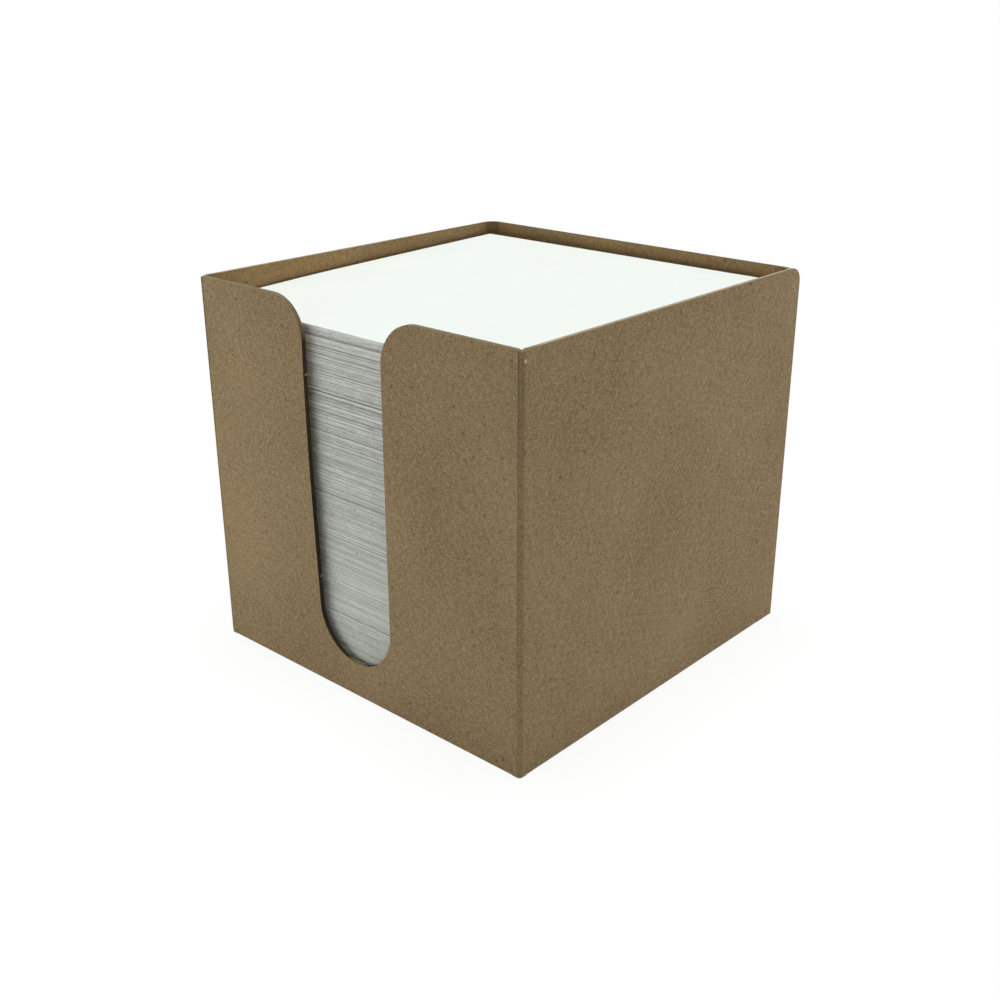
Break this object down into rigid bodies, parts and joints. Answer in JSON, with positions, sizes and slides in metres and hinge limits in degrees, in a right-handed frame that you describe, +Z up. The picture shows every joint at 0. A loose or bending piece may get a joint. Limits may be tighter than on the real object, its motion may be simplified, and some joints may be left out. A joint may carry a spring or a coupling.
{
  "type": "memo cube holder",
  "caption": "Open-topped kraft board desk box for a cube of loose square note sheets, with a tall finger slot in its front wall.",
  "frame": {"origin": "centre of the bounding box's footprint, on the table", "axes": "+Z up, the slotted front wall towards -Y, the near upright fold towards +X and -Y, the glued seam towards +X and +Y"},
  "size_m": [0.095, 0.0974, 0.089],
  "materials": {
    "kraft_board": "matt uncoated brown kraft board with fine flecks and pale cut edges",
    "note_paper": "matt uncoated white writing paper",
    "board_glue": "dried cream board glue"
  },
  "bodies": {
    "holder": {"front_wall": "kraft_board", "left_wall": "kraft_board", "back_wall": "kraft_board", "right_wall": "kraft_board", "seam_flap": "kraft_board", "base_panel": "kraft_board", "front_tab": "kraft_board", "left_tab": "kraft_board", "right_tab": "kraft_board", "seam_glue": "board_glue", "front_glue": "board_glue", "left_glue": "board_glue", "right_glue": "board_glue"},
    "bottom_note_block": {"bottom_note_block": "note_paper"},
    "lower_note_block": {"lower_note_block": "note_paper"},
    "upper_note_block": {"upper_note_block": "note_paper"},
    "top_note_block": {"top_note_block": "note_paper"},
    "loose_notes": {"loose_notes": "note_paper"},
    "top_note": {"top_note": "note_paper"}
  },
  "joints": [
    {"name": "bottom_note_block_lift", "type": "slide", "parent": "holder", "child": "bottom_note_block", "axis": [0, 0, 1], "range_m": [0, 0.097]},
    {"name": "lower_note_block_lift", "type": "slide", "parent": "bottom_note_block", "child": "lower_note_block", "axis": [0, 0, 1], "range_m": [0, 0.081]},
    {"name": "upper_note_block_lift", "type": "slide", "parent": "lower_note_block", "child": "upper_note_block", "axis": [0, 0, 1], "range_m": [0, 0.053]},
    {"name": "top_note_block_lift", "type": "slide", "parent": "upper_note_block", "child": "top_note_block", "axis": [0, 0, 1], "range_m": [0, 0.03]},
    {"name": "loose_notes_lift", "type": "slide", "parent": "top_note_block", "child": "loose_notes", "axis": [0, 0, 1], "range_m": [0, 0.018]},
    {"name": "top_note_lift", "type": "slide", "parent": "loose_notes", "child": "top_note", "axis": [0, 0, 1], "range_m": [0, 0.016]}
  ]
}
